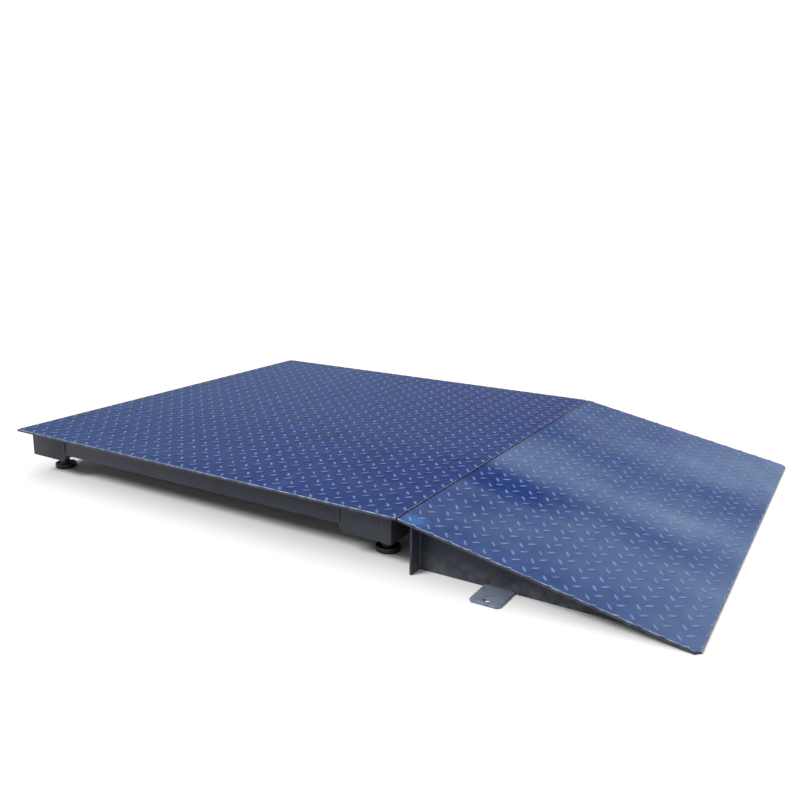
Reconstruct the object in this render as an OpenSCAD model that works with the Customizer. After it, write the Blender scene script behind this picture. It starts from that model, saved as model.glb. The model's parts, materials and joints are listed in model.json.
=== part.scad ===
// Floor scale for pallets and trolleys: a tread-plate deck on a channel frame, four shear-beam
// load cells on swivel feet, a junction box under the deck, and a loose ramp that stands in front.
// Origin: centre of the footprint, on the floor. +X points down the ramp, +Z up, millimetres.

/* [Platform] */
// Length of the deck along the ramp direction
platform_l = 1200; // [1100:50:1500]
// Width of the deck
platform_w = 1200; // [1100:50:1500]
// Height of the deck's top above the floor
deck_h = 120; // [118:1:124]
// Thickness of the deck's tread plate
deck_t = 6; // [5:1:8]
// How far the deck's edge stands out past the frame
overhang = 24; // [20:1:35]

/* [Frame] */
// Height of the channel beams under the deck
beam_h = 50; // [44:1:54]
// Depth of the channel beams, across their flanges
beam_d = 37; // [32:1:40]
// Wall thickness of the channel beams
beam_t = 4; // [3:0.5:5]
// Width of the hat ribs under the deck
rib_w = 60; // [40:5:70]
// Wall thickness of the hat ribs
rib_t = 3; // [2:0.5:4]
// Length of a corner box along X
box_l = 130; // [120:5:160]
// Width of a corner box along Y
box_w = 236; // [234:1:244]
// Height of a corner box's lower edge above the floor
box_z = 46; // [44:1:52]
// Wall thickness of a corner box
box_t = 5; // [4:0.5:6]
// Length of the slope that cuts a corner box's lower inner corner
box_cut = 10; // [6:1:14]
// Thickness of the pad plate at the top of a corner box
pad_plate_t = 8; // [6:1:10]
// Thickness of the apron on the ramp side
apron_t = 4; // [3:0.5:5]
// Height of the apron's lower edge above the floor
apron_z = 46; // [44:1:52]
// Length of the apron's returns round the corners
apron_return = 26; // [15:1:40]

/* [Load cells] */
// Width and height of a load cell's square section
cell_s = 31.8; // [30:0.1:32]
// Length of a load cell
cell_l = 130; // [128:0.1:132]
// Distance from a load cell's outer end to its foot hole
cell_foot_end = 15.7; // [15:0.1:17]
// Distance from the foot hole to the nearer mounting hole
cell_bolt_near = 76.2; // [76:0.1:77]
// Distance between the two mounting holes
cell_bolt_pitch = 25.4; // [25:0.1:26]

/* [Feet] */
// Thread diameter of a foot's stud
stud_d = 12; // [10:1:12]
// Diameter of a foot's base
foot_d = 56; // [54:1:64]
// Distance from a corner box's outer X face to its foot
foot_inset_x = 44.5; // [40:0.5:50]
// Distance from a corner box's outer Y face to its foot
foot_inset_y = 65; // [60:1:65]
// Thickness of the rubber sole
sole_t = 4; // [3:0.5:4]
// Radial running clearance of the stud in its threads, and of its ball in the cup
run_gap = 0.05; // [0.02:0.01:0.08]

/* [Ramp] */
// Length of the ramp from the deck's edge to its toe
ramp_l = 600; // [500:50:900]
// Gap between the deck and the ramp
seam = 4; // [3:0.5:8]
// Thickness of the ramp's tread plate
ramp_t = 6; // [5:1:6]
// Distance from the deck's edge to the ramp's end plate
end_plate_x = 29; // [20:1:40]
// How far the end plate's ends stand in from the ramp's sides
end_plate_inset = 9; // [5:1:20]
// How far the side gussets stand in from the ramp's sides
gusset_inset = 44; // [30:1:60]
// Thickness of the end plate, gussets and ribs
gusset_t = 5; // [4:0.5:6]
// Distance from the deck's edge to the middle of the anchor tabs
tab_x = 213; // [150:1:260]
// Length of an anchor tab along X
tab_l = 64; // [50:1:80]
// How far an anchor tab stands out past the ramp's side
tab_out = 31; // [28:1:40]
// Thickness of an anchor tab
tab_t = 5; // [4:0.5:6]
// Diameter of the anchor hole in a tab
tab_hole_d = 14; // [12:0.5:16]

/* [Junction box] */
// Length of the junction box along X
jbox_l = 80; // [76:1:90]
// Width of the junction box along Y
jbox_w = 120; // [118:1:130]
// Wall thickness of the junction box
jbox_t = 2; // [1.5:0.5:3]
// Diameter of a load cell's cable
cable_d = 5.5; // [5:0.1:5.5]
// Inner diameter of the output cable's gland
output_d = 8; // [6:0.5:9]

/* [Hidden] */
$fn = 96;
SLACK = 1; // how far a cutter runs past the face it cuts

// Ends of the deck and the frame
total_l = platform_l + ramp_l;
deck_x0 = -total_l / 2;
deck_x1 = deck_x0 + platform_l;
deck_z = deck_h - deck_t;
frame_x0 = deck_x0 + overhang;
frame_x1 = deck_x1 - overhang - apron_t;
frame_mid = (frame_x0 + frame_x1) / 2;
frame_hl = (frame_x1 - frame_x0) / 2;
frame_hw = platform_w / 2 - overhang - apron_t;
beam_z = deck_z - beam_h;

// Ribs: three run the whole length, two run between the corner boxes
LONG_RIBS = [-0.2, 0, 0.2];
SHORT_RIBS = [-0.3667, 0.3667];
RIB_YS = concat([for (k = LONG_RIBS) k * platform_w], [for (k = SHORT_RIBS) k * platform_w]);
RIBS = [for (i = [0 : len(RIB_YS) - 1]) i];

// Corners: name, then the side along X (-1 left, 1 at the ramp) and along Y (-1 near, 1 far)
CORNERS = [["near_left", -1, -1], ["near_right", 1, -1], ["far_left", -1, 1], ["far_right", 1, 1]];

// Load cells, in a corner's own frame: X and Y run inwards from the box's outer corner
pad_plate_z = deck_z - pad_plate_t;
spacer_t = 16;
cell_top = pad_plate_z - spacer_t;
cell_z = cell_top - cell_s;
cell_y0 = foot_inset_y - cell_foot_end;
cell_y1 = cell_y0 + cell_l;
bolt_y0 = foot_inset_y + cell_bolt_near;
BOLT_YS = [bolt_y0, bolt_y0 + cell_bolt_pitch];
spacer_l = 50;
nipple_l = 8;
nipple_r = 5;
gauge_r = 11;
gauge_depth = 9;
cell_edge = 2;

// Bolts: M12 hexagon heads under the cell, threaded into the pad plate
bolt_r = 6;
bolt_clear_r = 6.5;
bolt_head_h = 7.5;
bolt_head_af = 18;
washer_r = 12;
washer_t = 2.5;
bolt_stick = 6;

// Feet, as heights above the floor
ball_r = 10;
ball_z = sole_t + 12;
cup_top = ball_z + 6;
ring_z = cup_top + 2;
ring_h = 2;
ring_r = 11;
flat_z = ring_z + 5;
flat_h = 7;
flat_af = 10;
stud_top = cell_top - 6;
nut_h = 10.8;
nut_af = 19;

// Ramp: the plate's top runs from the seam down to the toe
ramp_x0 = deck_x1 + seam;
ramp_x1 = deck_x1 + ramp_l;
toe_run = 2;
toe_step = 2;
ramp_slope = (deck_h - ramp_t) / (ramp_x1 - toe_run - ramp_x0);
ramp_drop = ramp_t * sqrt(1 + ramp_slope * ramp_slope);
ramp_hw = platform_w / 2;
toe_chamfer = 10;
gusset_tip = 3;
RAMP_RIBS = [-0.275, -0.092, 0.092, 0.275];
function ramp_under(x) = deck_h - ramp_drop - ramp_slope * (x - ramp_x0);
function ramp_under_x(z) = ramp_x0 + (deck_h - ramp_drop - z) / ramp_slope;

// Junction box, beside the left end beam between the middle rib and the next one
jbox_x0 = frame_x0 + beam_d + 20;
jbox_y0 = RIB_YS[1] + rib_w / 2 + 30;
jbox_h = 40;
jbox_z = 60;
jbox_top = jbox_z + jbox_h;
lid_t = 2.5;
gasket_t = 1.5;
boss_r = 4.5;
boss_inset = 7;
screw_r = 2;
screw_l = 16;
screw_head_r = 4;
screw_head_h = 2.5;
board_t = 1.6;
board_z = 84;
board_margin = 12;
board_post_r = 3;
terminal_s = 10;
terminal_gap = 3;
gland_pitch = 19;
gland_af = 17;
gland_hex_l = 6;
gland_dome_l = 12;
gland_nut_l = 4;
gland_stem_l = jbox_t + gland_nut_l + 1;
cell_gland_r = 6;
output_gland_r = 8;
output_gland_af = 20;
output_z = 86;
jbox_mid_y = jbox_y0 + jbox_w / 2;
cable_z = (cell_z + cell_top) / 2;
grommet_r = 12;
grommet_flange = 3;

// Cables: two tracks run inside the left end beam, and one runs beside a rib on each side
cable_r = cable_d / 2;
track_inner_x = frame_x0 + 26;
track_outer_x = frame_x0 + 16;
rib_track_y = LONG_RIBS[2] * platform_w + rib_w / 2 + 4;
right_drop_x = frame_x1 - 56;
cable_end_x = jbox_x0 + 11;
cable_start_y = frame_hw - cell_y1 - nipple_l;
cable_jog_y = cable_start_y - 14;
box_inner_y = frame_hw - box_w;
bend_r = 12;
bend_steps = 5;
cable_sides = 8;
clip_r = 4.5;
clip_l = 10;
clip_t = 1;
RIB_CLIPS = [-0.62, -0.25, 0.12, 0.5];

// ---------------------------------------------------------------- placing

// A profile drawn in X and Z, extruded from y0 for a width of w
module along_y(y0, w) {
    translate([0, y0 + w, 0])
        rotate([90, 0, 0])
            linear_extrude(w)
                children();
}

// A profile drawn in Y and Z, extruded from x0 for a length of l
module along_x(x0, l) {
    translate([x0, 0, 0])
        rotate([90, 0, 90])
            linear_extrude(l)
                children();
}

// Children drawn on the near side, moved to the far side when side is 1
module on_side(side) {
    mirror([0, side > 0 ? 1 : 0, 0])
        children();
}

// A corner's own frame: its origin is the box's outer corner, and X and Y run inwards
module at_corner(c) {
    translate([frame_mid + c[1] * frame_hl, c[2] * frame_hw, 0])
        mirror([c[1] > 0 ? 1 : 0, 0, 0])
            mirror([0, c[2] > 0 ? 1 : 0, 0])
                children();
}

// A corner's frame moved to the foot's axis
module at_foot(c) {
    at_corner(c)
        translate([foot_inset_x, foot_inset_y, 0])
            children();
}

module hexagon(af, h) {
    cylinder(d = af / cos(30), h = h, $fn = 6);
}

// ---------------------------------------------------------------- platform frame

module deck_plate() {
    color([0.24, 0.31, 0.50])
        translate([deck_x0, -platform_w / 2, deck_z])
            cube([platform_l, platform_w, deck_t]);
}

// A channel's section: the web at X = 0 and the flanges towards +X
module channel_section() {
    difference() {
        square([beam_d, beam_h]);
        translate([beam_t, beam_t])
            square([beam_d, beam_h - 2 * beam_t]);
    }
}

module side_beam(side) {
    beam_l = 2 * (frame_hl - box_l);
    color([0.24, 0.26, 0.27])
        on_side(side)
            along_x(frame_mid - beam_l / 2, beam_l)
                translate([-frame_hw, beam_z])
                    channel_section();
}

module end_beam_left() {
    color([0.24, 0.26, 0.27])
        difference() {
            along_y(-box_inner_y, 2 * box_inner_y)
                translate([frame_x0, beam_z])
                    channel_section();
            translate([frame_x0 - SLACK, jbox_mid_y, output_z])
                rotate([0, 90, 0])
                    cylinder(r = grommet_r, h = beam_t + 2 * SLACK);
        }
}

module end_beam_right() {
    color([0.24, 0.26, 0.27])
        along_y(-box_inner_y, 2 * box_inner_y)
            translate([frame_x1, beam_z])
                mirror([1, 0])
                    channel_section();
}

module deck_rib(i) {
    long = i < len(LONG_RIBS);
    half_l = long ? frame_hl - beam_d : frame_hl - box_l;
    color([0.24, 0.26, 0.27])
        along_x(frame_mid - half_l, 2 * half_l)
            translate([RIB_YS[i] - rib_w / 2, beam_z])
                difference() {
                    square([rib_w, beam_h]);
                    translate([rib_t, rib_t])
                        square([rib_w - 2 * rib_t, beam_h]);
                }
}

// A box open at the bottom, with the load cell's pad plate as its roof
module corner_box(c) {
    hole_x = c[1] < 0 ? track_outer_x - frame_x0 : frame_x1 - right_drop_x;
    color([0.24, 0.26, 0.27])
        at_corner(c)
            difference() {
                along_y(0, box_w)
                    polygon([
                        [0, box_z],
                        [box_l - box_cut, box_z],
                        [box_l, (box_z + beam_z) / 2 + 2],
                        [box_l, deck_z],
                        [0, deck_z],
                    ]);
                translate([box_t, box_t, box_z - SLACK])
                    cube([box_l - 2 * box_t, box_w - 2 * box_t, pad_plate_z - box_z + SLACK]);
                for (y = BOLT_YS)
                    translate([foot_inset_x, y, pad_plate_z - SLACK])
                        cylinder(r = bolt_r + run_gap, h = pad_plate_t + 2 * SLACK);
                translate([hole_x, box_w + SLACK, cable_z])
                    rotate([90, 0, 0])
                        cylinder(r = cable_r + 2, h = box_t + 2 * SLACK);
            }
}

// The skirt across the ramp end, bent round both corners
module ramp_side_apron() {
    skirt_h = deck_z - apron_z;
    color([0.16, 0.17, 0.18])
        union() {
            translate([frame_x1, -frame_hw - apron_t, apron_z])
                cube([apron_t, 2 * (frame_hw + apron_t), skirt_h]);
            for (side = [-1, 1])
                on_side(side)
                    translate([frame_x1 + apron_t - apron_return, -frame_hw - apron_t, apron_z])
                        cube([apron_return, apron_t, skirt_h]);
        }
}

// ---------------------------------------------------------------- load cells

// A shear-beam cell: foot hole at the outer end, two mounting holes at the inner end
module load_cell(c) {
    gauge_y = (foot_inset_y + bolt_y0) / 2;
    color([0.62, 0.63, 0.62])
        at_corner(c)
            difference() {
                union() {
                    translate([foot_inset_x, cell_y0, cell_z])
                        along_y(0, cell_l)
                            polygon([
                                [-cell_s / 2 + cell_edge, 0],
                                [cell_s / 2 - cell_edge, 0],
                                [cell_s / 2, cell_edge],
                                [cell_s / 2, cell_s - cell_edge],
                                [cell_s / 2 - cell_edge, cell_s],
                                [-cell_s / 2 + cell_edge, cell_s],
                                [-cell_s / 2, cell_s - cell_edge],
                                [-cell_s / 2, cell_edge],
                            ]);
                    translate([foot_inset_x, cell_y1 - SLACK, cable_z])
                        rotate([-90, 0, 0])
                            cylinder(r = nipple_r, h = nipple_l + SLACK);
                }
                translate([foot_inset_x, foot_inset_y, cell_z - SLACK])
                    cylinder(r = stud_d / 2 + run_gap, h = cell_s + 2 * SLACK);
                for (y = BOLT_YS)
                    translate([foot_inset_x, y, cell_z - SLACK])
                        cylinder(r = bolt_clear_r, h = cell_s + 2 * SLACK);
                for (side = [-1, 1])
                    translate([foot_inset_x + side * (cell_s / 2 - gauge_depth / 2 + SLACK / 2), gauge_y, cable_z])
                        rotate([0, 90, 0])
                            cylinder(r = gauge_r, h = gauge_depth + SLACK, center = true);
            }
}

module load_cell_spacers() {
    color([0.24, 0.26, 0.27])
        for (c = CORNERS)
            at_corner(c)
                difference() {
                    translate([foot_inset_x - cell_s / 2, cell_y1 - spacer_l, cell_top])
                        cube([cell_s, spacer_l, spacer_t]);
                    for (y = BOLT_YS)
                        translate([foot_inset_x, y, cell_top - SLACK])
                            cylinder(r = bolt_clear_r, h = spacer_t + 2 * SLACK);
                }
}

module load_cell_bolts() {
    shank_l = washer_t + cell_s + spacer_t + bolt_stick;
    color([0.68, 0.69, 0.70])
        for (c = CORNERS)
            at_corner(c)
                for (y = BOLT_YS)
                    translate([foot_inset_x, y, cell_z - washer_t]) {
                        cylinder(r = bolt_r, h = shank_l);
                        translate([0, 0, -bolt_head_h])
                            hexagon(bolt_head_af, bolt_head_h);
                    }
}

module load_cell_washers() {
    color([0.68, 0.69, 0.70])
        for (c = CORNERS)
            at_corner(c)
                for (y = BOLT_YS)
                    translate([foot_inset_x, y, cell_z - washer_t])
                        difference() {
                            cylinder(r = washer_r, h = washer_t);
                            translate([0, 0, -SLACK])
                                cylinder(r = bolt_clear_r, h = washer_t + 2 * SLACK);
                        }
}

// ---------------------------------------------------------------- feet

module foot_lock_nuts() {
    color([0.68, 0.69, 0.70])
        for (c = CORNERS)
            at_foot(c)
                translate([0, 0, cell_z - nut_h])
                    difference() {
                        hexagon(nut_af, nut_h);
                        translate([0, 0, -SLACK])
                            cylinder(r = stud_d / 2 + run_gap, h = nut_h + 2 * SLACK);
                    }
}

// A loose dust ring on the stud, just above the cup
module foot_ring(c) {
    color([0.10, 0.10, 0.11])
        at_foot(c)
            translate([0, 0, ring_z])
                difference() {
                    cylinder(r = ring_r, h = ring_h);
                    translate([0, 0, -SLACK])
                        cylinder(r = stud_d / 2 + run_gap, h = ring_h + 2 * SLACK);
                }
}

// A threaded stud with a ball at its lower end and two spanner flats
module foot_stud(c) {
    color([0.68, 0.69, 0.70])
        at_foot(c)
            difference() {
                union() {
                    translate([0, 0, ball_z])
                        sphere(r = ball_r);
                    translate([0, 0, ball_z])
                        cylinder(d = stud_d, h = stud_top - ball_z);
                }
                for (side = [-1, 1])
                    translate([-stud_d / 2, side > 0 ? flat_af / 2 : -flat_af / 2 - stud_d, flat_z])
                        cube([stud_d, stud_d, flat_h]);
            }
}

// A cast base with a raised rim and a bell that holds the stud's ball
module foot_cup(c) {
    rim_z = sole_t + 9;
    floor_z = sole_t + 4;
    color([0.10, 0.10, 0.11])
        at_foot(c)
            difference() {
                rotate_extrude()
                    polygon([
                        [0, sole_t],
                        [foot_d / 2, sole_t],
                        [foot_d / 2, rim_z - 1],
                        [foot_d / 2 - 1, rim_z],
                        [foot_d / 2 - 3, rim_z],
                        [foot_d / 2 - 4, floor_z],
                        [foot_d / 2 - 12, floor_z],
                        [foot_d / 2 - 15, floor_z + 4],
                        [foot_d / 2 - 16.5, cup_top - 2],
                        [foot_d / 2 - 18, cup_top],
                        [0, cup_top],
                    ]);
                translate([0, 0, ball_z])
                    sphere(r = ball_r + run_gap);
            }
}

module foot_sole(c) {
    color([0.07, 0.07, 0.07])
        at_foot(c)
            cylinder(r = foot_d / 2 - 1, h = sole_t);
}

// ---------------------------------------------------------------- junction box

// Every screw place of the lid
module at_lid_screws() {
    for (x = [boss_inset, jbox_l - boss_inset])
        for (y = [boss_inset, jbox_w - boss_inset])
            translate([jbox_x0 + x, jbox_y0 + y, 0])
                children();
}

// The cell glands' places in the box's left wall, pointing out of the box
module at_cell_glands() {
    for (k = [-2, -1, 1, 2])
        translate([jbox_x0, jbox_mid_y + k * gland_pitch, cable_z])
            rotate([0, -90, 0])
                children();
}

// The output gland's place, between the cell glands and higher up
module at_output_gland() {
    translate([jbox_x0, jbox_mid_y, output_z])
        rotate([0, -90, 0])
            children();
}

module junction_box_body() {
    color([0.60, 0.61, 0.62])
        difference() {
            union() {
                difference() {
                    translate([jbox_x0, jbox_y0, jbox_z])
                        cube([jbox_l, jbox_w, jbox_h]);
                    translate([jbox_x0 + jbox_t, jbox_y0 + jbox_t, jbox_z - SLACK])
                        cube([jbox_l - 2 * jbox_t, jbox_w - 2 * jbox_t, jbox_h - jbox_t + SLACK]);
                }
                at_lid_screws()
                    translate([0, 0, jbox_z])
                        cylinder(r = boss_r, h = jbox_h - jbox_t / 2);
                for (x = [0.3, 0.7])
                    for (y = [0.3, 0.7])
                        translate([jbox_x0 + x * jbox_l, jbox_y0 + y * jbox_w, board_z])
                            cylinder(r = board_post_r, h = jbox_top - board_z - jbox_t / 2);
            }
            at_lid_screws()
                translate([0, 0, jbox_z - SLACK])
                    cylinder(r = screw_r + run_gap, h = screw_l + SLACK);
            at_cell_glands()
                translate([0, 0, -jbox_t - SLACK])
                    cylinder(r = cell_gland_r + run_gap, h = jbox_t + 2 * SLACK);
            at_output_gland()
                translate([0, 0, -jbox_t - SLACK])
                    cylinder(r = output_gland_r + run_gap, h = jbox_t + 2 * SLACK);
        }
}

// A hat bracket between the box's roof and the deck
module junction_box_bracket() {
    bracket_h = deck_z - jbox_top;
    bracket_w = 0.6 * jbox_l;
    color([0.60, 0.61, 0.62])
        along_y(jbox_y0 + boss_inset, jbox_w - 2 * boss_inset)
            translate([jbox_x0 + (jbox_l - bracket_w) / 2, jbox_top])
                difference() {
                    square([bracket_w, bracket_h]);
                    translate([jbox_t, jbox_t])
                        square([bracket_w - 2 * jbox_t, bracket_h]);
                }
}

module junction_box_lid() {
    color([0.60, 0.61, 0.62])
        difference() {
            translate([jbox_x0, jbox_y0, jbox_z - gasket_t - lid_t])
                cube([jbox_l, jbox_w, lid_t]);
            at_lid_screws()
                translate([0, 0, jbox_z - gasket_t - lid_t - SLACK])
                    cylinder(r = screw_r + 2 * run_gap, h = lid_t + 2 * SLACK);
        }
}

module junction_box_gasket() {
    rim = 2 * boss_inset;
    color([0.09, 0.09, 0.09])
        difference() {
            translate([jbox_x0, jbox_y0, jbox_z - gasket_t])
                cube([jbox_l, jbox_w, gasket_t]);
            translate([jbox_x0 + rim, jbox_y0 + rim, jbox_z - gasket_t - SLACK])
                cube([jbox_l - 2 * rim, jbox_w - 2 * rim, gasket_t + 2 * SLACK]);
            at_lid_screws()
                translate([0, 0, jbox_z - gasket_t - SLACK])
                    cylinder(r = screw_r + 2 * run_gap, h = gasket_t + 2 * SLACK);
        }
}

module junction_box_screws() {
    under_lid = jbox_z - gasket_t - lid_t;
    color([0.68, 0.69, 0.70])
        at_lid_screws() {
            translate([0, 0, under_lid - screw_head_h])
                cylinder(r = screw_head_r, h = screw_head_h);
            translate([0, 0, under_lid])
                cylinder(r = screw_r, h = lid_t + gasket_t + screw_l - SLACK);
        }
}

// A gland along its own axis: the dome outside, the nut inside the box's wall
module gland(stem_r, hex_af, bore_r) {
    difference() {
        union() {
            hexagon(hex_af, gland_hex_l);
            cylinder(r = hex_af / 2 - 0.5, h = gland_hex_l + gland_dome_l);
            translate([0, 0, -gland_stem_l])
                cylinder(r = stem_r, h = gland_stem_l + SLACK);
            translate([0, 0, -jbox_t - gland_nut_l])
                hexagon(hex_af, gland_nut_l);
        }
        translate([0, 0, -gland_stem_l - SLACK])
            cylinder(r = bore_r, h = gland_stem_l + gland_hex_l + gland_dome_l + 2 * SLACK);
    }
}

module cable_glands() {
    color([0.12, 0.12, 0.13])
        at_cell_glands()
            gland(cell_gland_r, gland_af, cable_r + run_gap);
}

module output_gland() {
    color([0.12, 0.12, 0.13])
        at_output_gland()
            gland(output_gland_r, output_gland_af, output_d / 2);
}

module summing_board() {
    color([0.12, 0.36, 0.20])
        translate([jbox_x0 + board_margin, jbox_y0 + board_margin, board_z - board_t])
            cube([jbox_l - 2 * board_margin, jbox_w - 2 * board_margin, board_t]);
}

module terminal_blocks() {
    color([0.15, 0.42, 0.26])
        for (k = [-2 : 2])
            translate([
                jbox_x0 + board_margin,
                jbox_mid_y + k * (terminal_s + terminal_gap) - terminal_s / 2,
                board_z - board_t - terminal_s
            ])
                cube(terminal_s);
}

// ---------------------------------------------------------------- load-cell cables

// The cable's track in plan for a corner, before its bends are rounded
function cable_track(c) =
    let (foot_x = frame_mid + c[1] * (frame_hl - foot_inset_x))
    let (inner_y = jbox_mid_y + c[2] * 2 * gland_pitch)
    let (outer_y = jbox_mid_y + c[2] * gland_pitch)
    c[1] < 0
        ? [
            [foot_x, c[2] * cable_start_y],
            [foot_x, c[2] * cable_jog_y],
            [track_outer_x, c[2] * (box_inner_y + 14)],
            [track_outer_x, outer_y],
            [cable_end_x, outer_y],
        ]
        : [
            [foot_x, c[2] * cable_start_y],
            [foot_x, c[2] * cable_jog_y],
            [right_drop_x, c[2] * (box_inner_y + 14)],
            [right_drop_x, c[2] * rib_track_y],
            [track_inner_x, c[2] * rib_track_y],
            [track_inner_x, inner_y],
            [cable_end_x, inner_y],
        ];

function unit(v) = v / norm(v);

// The points of a bend at b between a and d: a quadratic arc that starts and ends bend_r from b
function bend(a, b, d) =
    let (start = b + bend_r * unit(a - b))
    let (end = b + bend_r * unit(d - b))
    [for (i = [0 : bend_steps])
        let (t = i / bend_steps)
            (1 - t) * (1 - t) * start + 2 * t * (1 - t) * b + t * t * end];

function rounded(track) = concat(
    [track[0]],
    [for (i = [1 : len(track) - 2]) each bend(track[i - 1], track[i], track[i + 1])],
    [track[len(track) - 1]]
);

// The direction across a path in plan at point i
function across(path, i) =
    let (before = path[max(i - 1, 0)])
    let (after = path[min(i + 1, len(path) - 1)])
    let (along = unit(after - before))
    [along.y, -along.x];

// A round tube along a path in plan at the height z
module tube_along(path, z, r) {
    rings = len(path);
    points = [for (i = [0 : rings - 1])
        let (side = across(path, i))
            for (k = [0 : cable_sides - 1])
                let (a = 360 * k / cable_sides)
                    [path[i].x + r * cos(a) * side.x, path[i].y + r * cos(a) * side.y, z + r * sin(a)]];
    walls = [for (i = [0 : rings - 2])
        for (k = [0 : cable_sides - 1])
            let (m = (k + 1) % cable_sides)
                each [
                    [i * cable_sides + k, i * cable_sides + m, (i + 1) * cable_sides + m],
                    [i * cable_sides + k, (i + 1) * cable_sides + m, (i + 1) * cable_sides + k],
                ]];
    first = [for (k = [cable_sides - 1 : -1 : 0]) k];
    last = [for (k = [0 : cable_sides - 1]) (rings - 1) * cable_sides + k];
    polyhedron(points, concat(walls, [first, last]));
}

module cell_cable(c) {
    color([0.09, 0.09, 0.10])
        tube_along(rounded(cable_track(c)), cable_z, cable_r);
}

// A clip on the side of a rib: a ring round the cable and a foot on the rib's wall
module cable_clips() {
    rib_face = LONG_RIBS[2] * platform_w + rib_w / 2;
    color([0.60, 0.61, 0.62])
        for (side = [-1, 1])
            for (k = RIB_CLIPS)
                on_side(side)
                    translate([frame_mid + k * frame_hl, -rib_track_y, cable_z])
                        rotate([0, 90, 0])
                            difference() {
                                union() {
                                    cylinder(r = clip_r, h = clip_l);
                                    translate([-3 * clip_r, rib_track_y - rib_face - clip_t, 0])
                                        cube([3 * clip_r, clip_t, clip_l]);
                                }
                                translate([0, 0, -SLACK])
                                    cylinder(r = cable_r + run_gap, h = clip_l + 2 * SLACK);
                                translate([-2 * clip_r, rib_track_y - rib_face, -SLACK])
                                    cube([4 * clip_r, 2 * clip_r, clip_l + 2 * SLACK]);
                            }
}

module cable_grommet() {
    color([0.09, 0.09, 0.09])
        translate([frame_x0 - grommet_flange, jbox_mid_y, output_z])
            rotate([0, 90, 0])
                rotate_extrude()
                    difference() {
                        translate([output_d, 0])
                            square([grommet_r + 3 - output_d, beam_t + 2 * grommet_flange]);
                        translate([grommet_r - run_gap, grommet_flange])
                            square([2 * grommet_r, beam_t]);
                    }
}

// ---------------------------------------------------------------- ramp

module ramp_plate() {
    color([0.38, 0.46, 0.60])
        intersection() {
            along_y(-ramp_hw, 2 * ramp_hw)
                polygon([
                    [ramp_x0, deck_h],
                    [ramp_x1 - toe_run, ramp_t],
                    [ramp_x1, ramp_t - toe_step],
                    [ramp_x1, 0],
                    [ramp_under_x(0), 0],
                    [ramp_x0, deck_h - ramp_drop],
                ]);
            translate([0, 0, -SLACK])
                linear_extrude(deck_h + 2 * SLACK)
                    polygon([
                        [ramp_x0 - SLACK, -ramp_hw],
                        [ramp_x1 - toe_chamfer, -ramp_hw],
                        [ramp_x1, -ramp_hw + toe_chamfer],
                        [ramp_x1, ramp_hw - toe_chamfer],
                        [ramp_x1 - toe_chamfer, ramp_hw],
                        [ramp_x0 - SLACK, ramp_hw],
                    ]);
        }
}

module ramp_end_plate() {
    x0 = deck_x1 + end_plate_x;
    x1 = x0 + gusset_t;
    half_w = ramp_hw - end_plate_inset;
    color([0.22, 0.26, 0.34])
        along_y(-half_w, 2 * half_w)
            polygon([[x0, 0], [x1, 0], [x1, ramp_under(x1)], [x0, ramp_under(x0)]]);
}

// A wedge under the ramp's plate, from the end plate to where the plate nears the floor
module ramp_wedge(y0) {
    x0 = deck_x1 + end_plate_x + gusset_t;
    x1 = ramp_under_x(gusset_tip);
    along_y(y0, gusset_t)
        polygon([[x0, 0], [x1, 0], [x1, gusset_tip], [x0, ramp_under(x0)]]);
}

module ramp_gusset(side) {
    color([0.28, 0.31, 0.38])
        on_side(side)
            ramp_wedge(-ramp_hw + gusset_inset);
}

module ramp_ribs() {
    color([0.22, 0.26, 0.34])
        for (k = RAMP_RIBS)
            ramp_wedge(k * platform_w - gusset_t / 2);
}

module ramp_anchor_tabs() {
    tab_w = gusset_inset + tab_out;
    corner = 6;
    color([0.42, 0.45, 0.55])
        for (side = [-1, 1])
            on_side(side)
                translate([deck_x1 + tab_x, -ramp_hw + gusset_inset, 0])
                    linear_extrude(tab_t)
                        difference() {
                            polygon([
                                [-tab_l / 2, 0],
                                [-tab_l / 2, corner - tab_w],
                                [corner - tab_l / 2, -tab_w],
                                [tab_l / 2 - corner, -tab_w],
                                [tab_l / 2, corner - tab_w],
                                [tab_l / 2, 0],
                            ]);
                            translate([0, -gusset_inset - tab_out / 2])
                                circle(d = tab_hole_d);
                        }
}

// ---------------------------------------------------------------- the parts, one at a time

deck_plate();
side_beam(-1);  // side_beam_near
side_beam(1);  // side_beam_far
end_beam_left();
end_beam_right();
for (i = RIBS)
    deck_rib(i);
ramp_side_apron();
load_cell_spacers();
load_cell_bolts();
load_cell_washers();
foot_lock_nuts();
for (c = CORNERS) {
    corner_box(c);
    load_cell(c);
    cell_cable(c);
    foot_ring(c);
    foot_stud(c);
    foot_cup(c);
    foot_sole(c);
}
junction_box_body();
junction_box_bracket();
junction_box_lid();
junction_box_gasket();
junction_box_screws();
cable_glands();
output_gland();
summing_board();
terminal_blocks();
cable_clips();
cable_grommet();
ramp_plate();
ramp_end_plate();
ramp_gusset(-1);  // ramp_gusset_near
ramp_gusset(1);  // ramp_gusset_far
ramp_ribs();
ramp_anchor_tabs();
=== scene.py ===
"""A low floor scale with its ramp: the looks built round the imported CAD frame.

All lengths are metres, in the frame's own axes: +X runs down the ramp, +Z is up.
"""

import json
import math

import bmesh
import bpy
import numpy as np
from mathutils import Matrix, Vector, noise
from mathutils.geometry import delaunay_2d_cdt


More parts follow.
